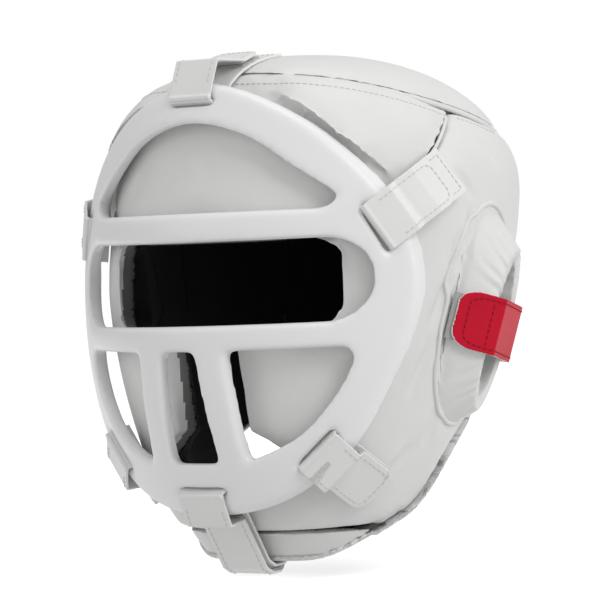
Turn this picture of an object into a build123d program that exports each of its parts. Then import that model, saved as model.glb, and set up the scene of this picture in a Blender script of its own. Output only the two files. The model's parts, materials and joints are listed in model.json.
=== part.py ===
"""Padded boxing headgear with a moulded face grille held on by six straps.

Millimetres. +Z is up, the wearer looks along -Y, +X is the wearer's left, and the
origin is the middle of the space for the head, at eye height. Every piece is one file
in parts/. Pieces on the wearer's right are mirror images of those on the left.
"""
import math
import os

from build123d import *

# ---- Driving dimensions ----------------------------------------------------------
# The padded shell: a stack of level sections, egg shaped in plan.
half_width = 107.0
half_front = 112.0
half_rear = 112.0
widest_height = 40.0
crown_rise = 87.0
front_drop = 215.0
rear_drop = 185.0
crown_roundness = 2.4
front_squareness = 2.7
rear_power_high = 2.25
rear_power_low = 1.5
rear_power_heights = (-30.0, 60.0)
inner_rear_power = 2.0
crown_lean = 22.0
chin_setback = 24.0
wall = 20.0
cover = 1.2
lining = 1.5
chin_inset = 3.0

# Seams that divide the shell into its panels.
crown_seam_height = 95.5
crown_seam_slope = -0.25
temple_seam_height = 91.9
temple_seam_slope = 0.70
rear_seam_y = 55.0
chin_seam_height = -127.0
chin_seam_y = -45.0
panel_gap = 0.4
back_gap = 24.0

# The T-shaped opening for the face.
eye_half_width = 74.0
eye_top = 28.0
eye_bottom = -16.0
eye_corner = 12.0
mouth_half_width = 19.0
mouth_bottom = -72.0
mouth_flare = 46.0
chin_rest_height = -97.0
flare_height = 6.0
lining_setback = 7.0

# The padded ring round each ear: it leans back, and faces a little down and to the rear.
ear_y = 3.0
ear_z = -22.0
ear_sink = 3.0
ear_lean = 11.0
ear_cant = 15.0
ear_turn = 20.0
ring_half = (29.0, 59.0)
ring_narrowing = (6.0, 14.0)
ring_height = 14.0
ring_foot = -24.0
ear_hole_half = (12.0, 34.0)
ear_hole_widening = (3.0, 2.0)

# The moulded grille: a sheet curved both ways, pierced by windows and strap slots.
grille_front = -132.5
grille_side_bend = 0.0049
grille_upper_bend = 0.00164
grille_lower_bend = 0.0022
grille_belly = -15.0
grille_thickness = 8.0
slot_width = 5.0
rim_beyond_slot = 10.0
rim_room = 4.5
rim_margin = 2.0
rim_clearance = 0.4

# Straps, their hook-and-loop faces and the room between them.
strap_thickness = 1.6
tape_thickness = 1.2
tape_inset = 3.0
tape_gap = 0.4
seat_gap = 0.8
slot_strap_width = 28.0
chin_strap_width = 30.0
ear_strap_width = 31.0
back_strap_width = 56.0
hinge_lift = 1.0
strap_corner = 8.0

# Lengths from the fold: of the flap, of the base and to where the flap comes down on it.
top_lengths = (52.0, 68.0, 37.0)
temple_lengths = (49.0, 62.0, 23.0)
jaw_lengths = (46.0, 40.0, 23.0)
chin_lengths = (70.0, 78.0, 23.0)

# Lengths of the straps sewn down at one end: of the flap, and to its tape.
ear_strap_lengths = (82.0, 72.0)
back_strap_lengths = (100.0, 60.0)

# Where each strap is sewn down: (y, z) on the shell's side, or y on its top.
top_anchor_y = -47.0
temple_anchor = (-32.0, 65.0)
jaw_anchor = (-57.0, -106.0)
chin_anchor = (-42.0, -147.0)
ear_strap_rear = (46.0, -28.0)
ear_strap_front = (-44.0, -11.0)
back_strap_start = 46.0
back_strap_z = 14.0

# The edge of the shell seen from the side, as (y, z), from the chin round to the nape.
lower_edge = [
    (-135, -128),
    (-95, -137),
    (-78, -142),
    (-66, -143),
    (-58, -139.5),
    (-50, -134.5),
    (-38, -128),
    (-23, -119),
    (-13, -106),
    (-4, -92),
    (6, -82),
    (22, -75),
    (46, -70),
    (76, -67),
    (135, -66),
]
binding_height = 2.0

# Half of the grille's outline seen from the front, as (x, z), from its top to its chin.
grille_outline = [
    (0, 113),
    (23, 109),
    (45, 100),
    (66, 87),
    (85, 69),
    (100, 49),
    (110, 24),
    (112, -2),
    (107, -26),
    (97, -50),
    (81, -79),
    (60, -99),
    (42, -109),
    (0, -116),
]

# Slots, as (x, z) of the middle and the tilt of each in front view.
temple_slot = (98.0, 32.5)
temple_slot_angle = -65.0
jaw_slot = (67.0, -82.0)
jaw_slot_angle = 45.0
top_slot = (0.0, 103.5)
chin_slot = (0.0, -103.5)
slot_spare = 2.0
strap_turn_share = 0.5

# Windows: width and height, or (x, z) along a curved edge and along a straight one.
eye_window = (194.0, 44.0)
eye_window_corner = 21.8
eye_window_z = 7.0
brow_curve = [(81, 51), (68, 61), (56, 70), (42, 80), (24, 88), (0, 92)]
brow_sill = [(-80, 47.5), (-77, 45), (-73, 44), (73, 44), (77, 45), (80, 47.5)]
mouth_window = [(-11, -28), (11, -28), (16, -88), (-16, -88)]
cheek_curve = [(88, -32), (82, -47), (74, -59), (62, -72), (47, -81), (31, -87)]
cheek_sill = [(28, -28), (85, -28)]

# Reaches and steps used in making the pieces.
far = 200.0
hair = 1e-9
ring_points = 28
sheet_heights = (120, 90, 60, 25, -15, -45, -75, -100, -122)
sheet_reach = 122.0
face_hole_back = -20.0
slot_reach = 16.0
least_rear_scale = 0.2
search_reach = 60.0
search_halvings = 30
strap_step = 7.0
level_shares = (0.99, 0.95, 0.88, 0.75, 0.55, 0.30, 0.0)
lower_levels = (0.0, -45.0, -85.0, -115.0, -135.0, -155.0)


# ---- The shell's form ------------------------------------------------------------
def rear_power(z, grow):
    """How square the rear of a level section is: it tapers behind the ears."""
    if grow < -wall / 2:
        return inner_rear_power
    low, high = rear_power_heights
    share = min(max((z - low) / (high - low), 0.0), 1.0)
    return rear_power_low + (rear_power_high - rear_power_low) * share


def shell_section(z, grow):
    """Half width, front and rear reach and setback of the level section at height z."""
    if z >= widest_height:
        share = min((z - widest_height) / (crown_rise + grow), 1.0)
        scale = (1.0 - share**crown_roundness) ** (1.0 / crown_roundness)
        setback = -crown_lean * ((z - widest_height) / crown_rise) ** 2
    else:
        fall = widest_height - z
        front_scale = math.sqrt(1.0 - (fall / front_drop) ** 2)
        rear_scale = math.sqrt(max(1.0 - (fall / rear_drop) ** 2, least_rear_scale))
        setback = -chin_setback * (fall / front_drop) ** 2
        width = half_width * front_scale + grow
        return width, half_front * front_scale + grow, half_rear * rear_scale + grow, setback
    return (
        (half_width + grow) * scale,
        (half_front + grow) * scale,
        (half_rear + grow) * scale,
        setback,
    )


def in_shell(point, grow=0.0):
    """True where a point lies inside the shell's form grown outwards by grow."""
    if point.Z >= widest_height + crown_rise + grow:
        return False
    width, front, rear, setback = shell_section(point.Z, grow)
    depth = point.Y - setback
    if depth < 0:
        power = front_squareness
        reach = front
    else:
        power = rear_power(point.Z, grow)
        reach = rear
    return (abs(point.X) / width) ** power + (abs(depth) / reach) ** power < 1.0


def shell_ring(z, grow):
    """Closed level curve of the shell's form at height z."""
    width, front, rear, setback = shell_section(z, grow)
    points = []
    for step in range(ring_points):
        angle = math.tau * step / ring_points
        across = math.cos(angle)
        along = math.sin(angle)
        squareness = front_squareness if along < -hair else rear_power(z, grow)
        x = width * math.copysign(abs(across) ** (2.0 / squareness), across)
        if abs(along) < hair:
            y = 0.0
        else:
            reach = front if along < 0 else rear
            y = math.copysign(reach * abs(along) ** (2.0 / squareness), along)
        points.append((x, y + setback, z))
    return Wire([Spline(*points, periodic=True)])


def shell_form(grow):
    """Solid form of the shell grown outwards by grow, from crown to below the chin."""
    heights = [widest_height + share * (crown_rise + grow) for share in level_shares]
    heights += lower_levels
    return Solid.make_loft([shell_ring(z, grow) for z in heights])


def side_prism(points, x_low=-far, x_high=far):
    """Solid whose outline is given in side view, as (y, z), between two x values."""
    outline = Plane.YZ * Polygon(*points, align=None)
    return Pos(x_low, 0, 0) * extrude(outline, x_high - x_low, dir=(1, 0, 0))


def front_prism(face, y_low, y_high):
    """Solid whose outline is a face drawn in front view, as (x, z), between two y values."""
    return Pos(0, y_high, 0) * extrude(Plane.XZ * face, y_high - y_low, dir=(0, -1, 0))


def crown_line(y, lift=0.0):
    """Height of the crown seam seen from the side."""
    return crown_seam_height + crown_seam_slope * y + lift


def temple_line(y):
    """Height of the seam between forehead and cheek seen from the side."""
    return temple_seam_height + temple_seam_slope * y


def rear_line(z):
    """How far back the seam behind the ear lies at height z, square to the crown seam."""
    return rear_seam_y - crown_seam_slope * z


seam_meeting_y = (crown_seam_height - temple_seam_height) / (temple_seam_slope - crown_seam_slope)
rear_corner_y = rear_line(crown_seam_height) / (1 + crown_seam_slope**2)


def above_lower_edge(lift):
    """Solid above the shell's lower edge, raised by lift."""
    points = [(y, z + lift) for y, z in lower_edge]
    edge = Spline(*points)
    first = points[0]
    last = points[-1]
    sides = Polyline(last, (last[0], far), (first[0], far), first)
    outline = Plane.YZ * make_face([edge] + list(sides.edges()))
    return Pos(-far, 0, 0) * extrude(outline, 2 * far, dir=(1, 0, 0))


# ---- The face opening ------------------------------------------------------------
def face_outline(grow):
    """The T-shaped face opening seen from the front, grown by grow."""
    eye_height = eye_top - eye_bottom + 2 * grow
    eye_middle = (eye_top + eye_bottom) / 2
    slot = RectangleRounded(2 * eye_half_width + 2 * grow, eye_height, eye_corner + grow)
    mouth = Polygon(
        (-mouth_half_width - grow, 0),
        (-mouth_half_width - grow, mouth_bottom),
        (-mouth_flare - grow, chin_rest_height + flare_height),
        (-mouth_flare - grow, chin_rest_height - grow),
        (mouth_flare + grow, chin_rest_height - grow),
        (mouth_flare + grow, chin_rest_height + flare_height),
        (mouth_half_width + grow, mouth_bottom),
        (mouth_half_width + grow, 0),
        align=None,
    )
    return Pos(0, eye_middle) * slot + mouth


def ear_cone(half, narrowing, low, high):
    """Solid about the left ear's axis, oval, narrowing outwards, between two heights."""
    sections = []
    for height in (low, high):
        share = height / ring_height
        oval = Ellipse(half[0] - narrowing[0] * share, half[1] - narrowing[1] * share)
        place = Location(ear_plane) * Pos(0, 0, height)
        sections.append((place * oval).face())
    return loft(sections)


def in_ring(point):
    """True where a point lies inside the padded ring's outer form."""
    offset = point - ear_centre
    height = offset.dot(ear_axis)
    share = height / ring_height
    across = offset.dot(ear_across_axis) / (ring_half[0] - ring_narrowing[0] * share)
    along = offset.dot(ear_long_axis) / (ring_half[1] - ring_narrowing[1] * share)
    return across**2 + along**2 < 1 and height < ring_height


# ---- The grille ------------------------------------------------------------------
def grille_y(x, z, depth=0.0):
    """Front of the grille at (x, z), or its surface that deep below the front."""
    bend = grille_upper_bend if z > grille_belly else grille_lower_bend
    slope_x = 2 * grille_side_bend * x
    slope_z = 2 * bend * (z - grille_belly)
    y = grille_front + bend * (z - grille_belly) ** 2 + grille_side_bend * x**2
    return y + depth * math.sqrt(1 + slope_x**2 + slope_z**2)


def grille_sheet(front_depth, back_depth):
    """The grille's curved sheet, uncut, between two depths below its front."""
    sections = []
    for z in sheet_heights:
        across = [sheet_reach * share / 4 for share in range(-4, 5)]
        front = [(x, grille_y(x, z, front_depth), z) for x in across]
        back = [(x, grille_y(x, z, back_depth), z) for x in reversed(across)]
        edges = [
            Spline(*front),
            Line(front[-1], back[0]),
            Spline(*back),
            Line(back[-1], front[0]),
        ]
        sections.append(Wire(edges))
    return Solid.make_loft(sections)


def grille_blank(margin=0.0):
    """The grille's outline in front view, grown by margin."""
    growth = [1 + margin / math.hypot(x, z) for x, z in grille_outline]
    near_side = [(x * share, z * share) for (x, z), share in zip(grille_outline, growth)]
    other_side = [(-x, z) for x, z in reversed(near_side[1:-1])]
    return make_face(Spline(*(near_side + other_side), periodic=True))


def in_blank(x, z, margin):
    """True where a front-view point lies inside the grille's outline grown by margin."""
    inside = False
    x = abs(x)
    for (x1, z1), (x2, z2) in zip(grille_outline, grille_outline[1:]):
        if z2 <= z <= z1:
            inside = x < x1 + (x2 - x1) * (z1 - z) / (z1 - z2) + margin
    return inside


def grille_face():
    """The grille's outline with its windows, in front view."""
    blank = grille_blank()
    brow_left = [(-x, z) for x, z in reversed(brow_curve[:-1])]
    upper_edges = Spline(*(brow_curve + brow_left))
    corner = brow_curve[0]
    upper_sides = Polyline((-corner[0], corner[1]), *brow_sill, corner)
    upper = make_face([upper_edges] + list(upper_sides.edges()))
    eye = Pos(0, eye_window_z) * RectangleRounded(*eye_window, eye_window_corner)
    centre = Polygon(*mouth_window, align=None)
    cheek_edge = Spline(*cheek_curve)
    cheek_sides = Polyline(cheek_curve[-1], *cheek_sill, cheek_curve[0])
    cheek = make_face([cheek_edge] + list(cheek_sides.edges()))
    return blank - upper - eye - centre - cheek - mirror(cheek, Plane.YZ)


# ---- Straps ----------------------------------------------------------------------
def surface_reach(origin, outward, test, low=-search_reach, high=search_reach):
    """How far along outward, from origin, the surface bounding test lies."""
    for _ in range(search_halvings):
        middle = (low + high) / 2
        if test(origin + outward * middle):
            low = middle
        else:
            high = middle
    return low


def upper_hull(points):
    """The points of a row that a strap pulled tight over them would touch."""
    hull = []
    for point in points:
        while len(hull) > 1:
            (u1, w1), (u2, w2) = hull[-2], hull[-1]
            if (w2 - w1) * (point[0] - u1) > (point[1] - w1) * (u2 - u1):
                break
            hull.pop()
        hull.append(point)
    return hull


def height_on(path, u):
    """Height of a row of (u, w) points at u."""
    for (u1, w1), (u2, w2) in zip(path, path[1:]):
        if u1 <= u <= u2:
            return w1 + (w2 - w1) * (u - u1) / (u2 - u1)
    return path[-1][1]


def stretch(path, low, high):
    """The part of a row of (u, w) points between two u values."""
    inner = [point for point in path if low < point[0] < high]
    return [(low, height_on(path, low))] + inner + [(high, height_on(path, high))]


class StrapFrame:
    """A strap's own axes: u along it, v across it, w away from the head."""

    def __init__(self, start, end, across, width):
        self.start = start
        run = end - start
        along = run.normalized()
        across = across.normalized()
        self.v = (across - along * (along.dot(across) * strap_turn_share)).normalized()
        run = run - self.v * run.dot(self.v)
        self.length = run.length
        self.u = run.normalized()
        self.w = self.u.cross(self.v)
        if self.w.dot(start) < 0:
            self.w = -self.w
        self.width = width

    def heights(self, low, high, test, step=strap_step):
        """Highest point across the strap of the surface under it, at steps along it."""
        count = max(2, math.ceil((high - low) / step))
        path = []
        for index in range(count + 1):
            u = low + (high - low) * index / count
            tops = []
            for share in (-0.5, -0.25, 0.0, 0.25, 0.5):
                spot = self.start + self.u * u + self.v * (share * self.width)
                tops.append(surface_reach(spot, self.w, test))
            path.append((u, max(tops)))
        return path

    def slab(self, lower, upper, width=None):
        """Solid between two rows of (u, w) points, as wide as the strap."""
        width = width or self.width
        outline = lower + list(reversed(upper))
        place = Plane(origin=self.start, x_dir=self.u, z_dir=self.u.cross(self.w))
        face = place * Polygon(*outline, align=None)
        return extrude(face, width / 2, both=True)


def raised(path, lift):
    """A row of (u, w) points lifted along w."""
    return [(u, w + lift) for u, w in path]


stack = seat_gap + strap_thickness + 2 * tape_thickness + tape_gap


def in_dented_shell(point):
    """True where a point lies inside the shell's form, less the room for the grille."""
    if not in_shell(point):
        return False
    if not in_blank(point.X, point.Z, rim_margin):
        return True
    return point.Y > grille_y(point.X, point.Z, grille_thickness + rim_room)


def in_trimmed_shell(point):
    """True where a point lies inside the dented shell and above its lower edge."""
    return in_dented_shell(point) and point.Z > height_on(lower_edge, point.Y) - binding_height


def in_rim(point):
    """True where a point lies behind the grille's front."""
    return point.Y > grille_y(point.X, point.Z)


def rounded_end(frame, length, width):
    """Prism that rounds the free end of a strap of that length."""
    place = Plane(origin=frame.start, x_dir=frame.u, z_dir=frame.w)
    plan = place * RectangleRounded(2 * length, width, strap_corner)
    return extrude(plan, far, both=True)


def closing_tapes(frame, under_flap, base_top, low, flap_high, base_high):
    """The hook tape under a flap and the loop tape that it closes on."""
    tape_width = frame.width - 2 * tape_inset
    hook_path = stretch(under_flap, low, flap_high - tape_inset)
    hook = frame.slab(raised(hook_path, -tape_thickness), hook_path, tape_width)
    loop_path = stretch(base_top, low, base_high)
    loop = frame.slab(loop_path, raised(loop_path, tape_thickness), tape_width)
    return hook, loop


def slot_strap(start, end, across, width, flap_length, base_length, comes_down, under):
    """The pieces of one grille strap, the slot it passes through, and its axes.

    The base is sewn to the shell, runs under the grille's rim and comes up through
    the slot. The flap folds back over the rim and closes on the base.
    """
    frame = StrapFrame(start, end, across, width)
    normal = grille_normal(start)
    slot_axes = Plane(origin=start, x_dir=across, z_dir=normal)
    outline = RectangleRounded(width + slot_spare, slot_width, slot_width / 2 - tape_gap)
    slot = extrude(slot_axes * outline, slot_reach, both=True)

    tab = (normal.dot(frame.u), normal.dot(frame.w))
    side = (strap_thickness / 2 * tab[1], -strap_thickness / 2 * tab[0])
    deep = -(grille_thickness + rim_clearance + strap_thickness)
    turn_in = (deep * tab[0], deep * tab[1])
    over_shell = frame.heights(0.0, max(base_length, flap_length), under)
    sewn = raised(over_shell, seat_gap + strap_thickness)
    first = (turn_in[0] + side[0], turn_in[1] + side[1])
    sewn = [point for point in sewn if point[0] > first[0] + strap_thickness]
    base_top = stretch(upper_hull([first] + sewn), first[0], base_length)
    base_low = [(turn_in[0] - side[0], turn_in[1] - side[1] - strap_thickness)]
    base_low += raised(base_top[1:], -strap_thickness)
    out = hinge_lift - tape_gap
    tip = [(out * tab[0] - side[0], out * tab[1] - side[1])]
    tip += [(out * tab[0] + side[0], out * tab[1] + side[1])]
    base = frame.slab(base_low, tip + base_top)

    over_rim = frame.heights(0.0, rim_beyond_slot + rim_room, in_rim, rim_beyond_slot / 2)
    tapes = 2 * tape_thickness + tape_gap
    rests = stretch(raised(base_top, tapes), comes_down, max(base_length, flap_length))
    under_flap = stretch(upper_hull(raised(over_rim, hinge_lift)) + rests, 0.0, flap_length)
    flap = frame.slab(under_flap, raised(under_flap, strap_thickness))
    flap = flap & rounded_end(frame, flap_length, width)
    tape_end = min(base_length, flap_length)
    hook, loop = closing_tapes(frame, under_flap, base_top, comes_down, tape_end, tape_end)
    return {"base": base, "flap": flap, "hook": hook, "loop": loop}, slot, frame


def wrap_strap(start, end, across, width, flap_length, tape_low, under):
    """A strap sewn down at start that crosses a form and closes on the shell at its end."""
    frame = StrapFrame(start, end, across, width)
    over = frame.heights(0.0, flap_length + tape_inset, under)
    taut = upper_hull([(0.0, over[0][1] + tape_gap)] + raised(over[1:], stack - strap_thickness))
    under_flap = stretch(taut, 0.0, flap_length)
    flap = frame.slab(under_flap, raised(under_flap, strap_thickness))
    flap = flap & rounded_end(frame, flap_length, width)
    over = upper_hull(raised(over, seat_gap))
    hook, loop = closing_tapes(frame, under_flap, over, tape_low, flap_length, flap_length)
    return {"flap": flap, "hook": hook, "loop": loop}, frame


def shell_spot(inside, outward):
    """Point where a line from inside the head leaves the shell."""
    return inside + outward * surface_reach(inside, outward, in_shell, 0.0, far)


def grille_spot(x, z):
    """Point of the grille's front at (x, z)."""
    return Vector(x, grille_y(x, z), z)


def grille_normal(spot):
    """Outward direction of the grille's front at a point on it."""
    step = 1.0
    slope_x = grille_y(spot.X + step, spot.Z) - grille_y(spot.X - step, spot.Z)
    slope_z = grille_y(spot.X, spot.Z + step) - grille_y(spot.X, spot.Z - step)
    return Vector(slope_x, -2 * step, slope_z).normalized()


def slot_direction(spot, angle):
    """Direction of a slot's length on the grille's curved front."""
    step_x = math.cos(math.radians(angle))
    step_z = math.sin(math.radians(angle))
    ahead = grille_spot(spot[0] + step_x, spot[1] + step_z)
    behind = grille_spot(spot[0] - step_x, spot[1] - step_z)
    return ahead - behind


# ---- Making the pieces -----------------------------------------------------------
left = Vector(1, 0, 0)
upward = Vector(0, 0, 1)
rearward = Vector(0, 1, 0)
turn, cant, lean = [math.radians(angle) for angle in (ear_turn, ear_cant, ear_lean)]
ear_level = Vector(math.cos(turn), math.sin(turn), 0)
ear_axis = ear_level * math.cos(cant) - upward * math.sin(cant)
ear_centre = shell_spot(Vector(0, ear_y, ear_z), left) - left * ear_sink
ear_flat = Vector(-math.sin(turn), math.cos(turn), 0)
ear_rise = ear_axis.cross(ear_flat)
ear_across_axis = ear_flat * math.cos(lean) - ear_rise * math.sin(lean)
ear_long_axis = ear_flat * math.sin(lean) + ear_rise * math.cos(lean)
ear_plane = Plane(origin=ear_centre, x_dir=ear_across_axis, z_dir=ear_axis)

pieces = {}
room = grille_thickness + rim_room
rim_space = front_prism(grille_blank(rim_margin), -far, 0)
outer_dent = grille_sheet(-room, room) & rim_space
foam_dent = grille_sheet(-room, room + cover) & rim_space
form_lining = shell_form(-(wall - lining))
brow_outer = shell_form(0.0) - form_lining
brow_foam = shell_form(-cover) - form_lining
form_outer = shell_form(0.0) - outer_dent
form_foam = shell_form(-cover) - foam_dent
form_inner = shell_form(-wall)
cover_layer = form_outer - form_foam
foam_layer = form_foam - form_lining
lining_layer = form_lining - form_inner
wall_layer = form_outer - form_inner

kept = above_lower_edge(binding_height)
binding_zone = above_lower_edge(0.0) - kept
face_hole = front_prism(face_outline(cover), -far, face_hole_back)
face_edge_zone = face_hole - front_prism(face_outline(0.0), -far, face_hole_back)
lining_hole = front_prism(face_outline(lining_setback), -far, face_hole_back)
ear_core = ear_cone(ear_hole_half, (0.0, 0.0), -2 * wall, 2 * wall) - form_lining

crown_zone = side_prism(
    [(-far, crown_line(-far)), (far, crown_line(far)), (far, far), (-far, far)]
)
forehead_zone = side_prism(
    [
        (seam_meeting_y, crown_line(seam_meeting_y)),
        (-far, crown_line(-far)),
        (-far, temple_line(-far)),
    ]
)
side_zone = side_prism(
    [
        (seam_meeting_y, crown_line(seam_meeting_y)),
        (-far, temple_line(-far)),
        (-far, -far),
        (rear_line(-far), -far),
        (rear_corner_y, crown_line(rear_corner_y)),
    ],
    x_low=0.0,
)
chin_zone = side_prism(
    [(-far, chin_seam_height), (chin_seam_y, chin_seam_height), (chin_seam_y, -far), (-far, -far)]
)
wing_start = rear_corner_y + panel_gap
wing_zone = side_prism(
    [
        (wing_start, crown_line(wing_start, -panel_gap)),
        (rear_line(-far) + panel_gap, -far),
        (far, -far),
        (far, crown_line(far, -panel_gap)),
    ],
    x_low=back_gap / 2,
)
side_zone = side_zone - chin_zone
front_zone = crown_zone + forehead_zone + side_zone + mirror(side_zone, Plane.YZ)

crown_keep = crown_zone
forehead_keep = forehead_zone - face_hole
side_keep = (side_zone & kept) - face_hole - ear_core
wing_keep = wing_zone & kept
pieces["crown_cover"] = cover_layer & crown_keep
pieces["crown_foam"] = foam_layer & crown_keep
forehead_foam = (brow_foam & forehead_keep) - foam_dent
pieces["forehead_foam"] = forehead_foam
pieces["forehead_cover"] = (brow_outer & forehead_keep) - outer_dent - forehead_foam
pieces["side_cover_left"] = cover_layer & side_keep
pieces["side_foam_left"] = foam_layer & side_keep
pieces["rear_cover_left"] = cover_layer & wing_keep
pieces["rear_foam_left"] = foam_layer & wing_keep
pieces["rear_lining_left"] = lining_layer & wing_keep
pieces["rear_binding_left"] = wall_layer & (binding_zone & wing_zone)

# The chin rest is a separate pad, set in a little under the cheek panels.
chin_outer = shell_form(-chin_inset)
chin_under = shell_form(-chin_inset - cover)
chin_keep = chin_zone & kept
pieces["chin_cover"] = (chin_outer - chin_under) & chin_keep
pieces["chin_foam"] = (chin_under - form_lining) & chin_keep
lining_keep = (front_zone & kept) + chin_keep - lining_hole
pieces["head_lining"] = lining_layer & lining_keep
pieces["face_opening_edge"] = wall_layer & face_edge_zone & (front_zone + chin_zone)
binding_keep = binding_zone & (side_zone + mirror(side_zone, Plane.YZ))
chin_binding = (chin_outer - form_inner) & (binding_zone & chin_zone)
pieces["neck_binding"] = (wall_layer & binding_keep) + chin_binding

# The padded rings stand on the cover round each ear hole.
ring_body = ear_cone(ring_half, ring_narrowing, ring_foot, ring_height)
bore_widening = (-ear_hole_widening[0], -ear_hole_widening[1])
ring_bore = ear_cone(ear_hole_half, bore_widening, ring_foot, ring_height + cover)
core_half = (ring_half[0] - cover, ring_half[1] - cover)
bore_half = (ear_hole_half[0] + cover, ear_hole_half[1] + cover)
core_body = ear_cone(core_half, ring_narrowing, ring_foot, ring_height - cover)
core_bore = ear_cone(bore_half, bore_widening, ring_foot, ring_height + cover)
pieces["ear_ring_foam_left"] = core_body - core_bore - form_outer
pieces["ear_ring_cover_left"] = ring_body - ring_bore - form_outer - (core_body - core_bore)

# The grille is one moulding.
grille = grille_sheet(0.0, grille_thickness) & front_prism(grille_face(), -far, 0)

# Straps through the grille's slots.
top_end = shell_spot(Vector(0, top_anchor_y, 0), upward)
temple_end = shell_spot(Vector(0, *temple_anchor), left)
jaw_end = shell_spot(Vector(0, *jaw_anchor), left)
chin_end = Vector(0, *chin_anchor)
strap_plans = {
    "top": (top_slot, 0.0, top_end, top_lengths),
    "temple": (temple_slot, temple_slot_angle, temple_end, temple_lengths),
    "jaw": (jaw_slot, jaw_slot_angle, jaw_end, jaw_lengths),
    "chin": (chin_slot, 0.0, chin_end, chin_lengths),
}
frames = {}
for name, plan in strap_plans.items():
    place, angle, end, lengths = plan
    width = chin_strap_width if name == "chin" else slot_strap_width
    under = in_trimmed_shell if name == "chin" else in_dented_shell
    start = grille_spot(*place)
    across = slot_direction(place, angle)
    made, slot, frames[name] = slot_strap(start, end, across, width, *lengths, under)
    side = "_left" if name in ("temple", "jaw") else ""
    grille -= slot
    if side:
        grille -= mirror(slot, Plane.YZ)
    for piece, solid in made.items():
        pieces[name + "_strap_" + piece + side] = solid

pieces["face_grille"] = grille

# The red strap over each ear, sewn down behind the ring and closing in front of it.
ear_start = shell_spot(Vector(0, *ear_strap_rear), left)
ear_end = shell_spot(Vector(0, *ear_strap_front), left)
ear_across = ear_axis.cross(ear_end - ear_start)


def in_ringed_shell(point):
    """True where a point lies inside the shell's form or the ring on it."""
    return in_shell(point) or in_ring(point)


made, frames["ear"] = wrap_strap(
    ear_start, ear_end, ear_across, ear_strap_width, *ear_strap_lengths, in_ringed_shell
)
for piece, solid in made.items():
    pieces["ear_strap_" + piece + "_left"] = solid

# The wide strap across the gap at the back, sewn to the left wing.
back_start = shell_spot(Vector(back_strap_start, 0, back_strap_z), rearward)
back_end = shell_spot(Vector(-back_strap_start, 0, back_strap_z), rearward)
back_above = shell_spot(Vector(0, 0, back_strap_z + back_strap_width / 2), rearward)
back_below = shell_spot(Vector(0, 0, back_strap_z - back_strap_width / 2), rearward)
made, frames["back"] = wrap_strap(
    back_start, back_end, back_above - back_below, back_strap_width, *back_strap_lengths, in_shell
)
for piece, solid in made.items():
    pieces["back_strap_" + piece] = solid

os.makedirs("parts", exist_ok=True)
for name, solid in list(pieces.items()):
    if name.endswith("_left"):
        pieces[name[:-4] + "right"] = mirror(solid, Plane.YZ)
for name, solid in pieces.items():
    export_step(Compound(solid.solids()), "parts/" + name + ".step")
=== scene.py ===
# %% [markdown]
# # A padded boxing headgear with a face grille
# The headgear is a sewn shell of padded panels, with a moulded grille held on by six
# hook-and-loop straps, a padded ring and a red strap over each ear, and a wide strap
# across the back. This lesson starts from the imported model, which says where every
# piece is and what it moves with, and gives each piece its real surface.

# %% Load the frame
import json
import math

import bpy
import numpy as np
from mathutils import Matrix, Vector, noise
from mathutils.bvhtree import BVHTree


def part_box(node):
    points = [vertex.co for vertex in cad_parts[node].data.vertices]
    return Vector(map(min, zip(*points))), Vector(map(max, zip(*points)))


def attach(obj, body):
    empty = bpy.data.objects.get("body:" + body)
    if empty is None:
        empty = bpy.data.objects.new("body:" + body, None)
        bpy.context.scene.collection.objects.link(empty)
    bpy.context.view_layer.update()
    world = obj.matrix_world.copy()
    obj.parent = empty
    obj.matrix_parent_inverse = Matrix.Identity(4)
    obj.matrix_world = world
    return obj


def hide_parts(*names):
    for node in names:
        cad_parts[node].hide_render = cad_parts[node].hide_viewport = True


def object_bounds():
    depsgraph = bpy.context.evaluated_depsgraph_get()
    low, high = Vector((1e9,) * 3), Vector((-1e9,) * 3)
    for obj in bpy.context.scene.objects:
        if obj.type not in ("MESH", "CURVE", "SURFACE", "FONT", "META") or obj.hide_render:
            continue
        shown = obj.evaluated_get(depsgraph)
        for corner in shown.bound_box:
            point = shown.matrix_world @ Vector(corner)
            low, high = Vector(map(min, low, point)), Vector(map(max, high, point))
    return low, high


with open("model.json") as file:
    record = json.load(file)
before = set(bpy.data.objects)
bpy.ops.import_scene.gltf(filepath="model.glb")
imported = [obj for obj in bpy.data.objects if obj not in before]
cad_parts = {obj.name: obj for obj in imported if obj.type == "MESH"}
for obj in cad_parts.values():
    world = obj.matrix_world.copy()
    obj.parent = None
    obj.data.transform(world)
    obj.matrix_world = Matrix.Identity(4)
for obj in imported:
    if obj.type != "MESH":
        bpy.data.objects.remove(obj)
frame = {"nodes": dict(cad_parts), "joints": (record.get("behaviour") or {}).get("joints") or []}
cad_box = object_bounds()
MM = 0.001
nodes = frame["nodes"]
joints = {joint["name"]: joint for joint in frame["joints"]}

# %% [markdown]
# ## Camera
# The camera stands about two metres away at three-quarter view, nearly level with the
# middle of the headgear, with a long lens, so that the near side isn't swollen by
# perspective. It is rolled a little, because the headgear hangs slightly askew.

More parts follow.
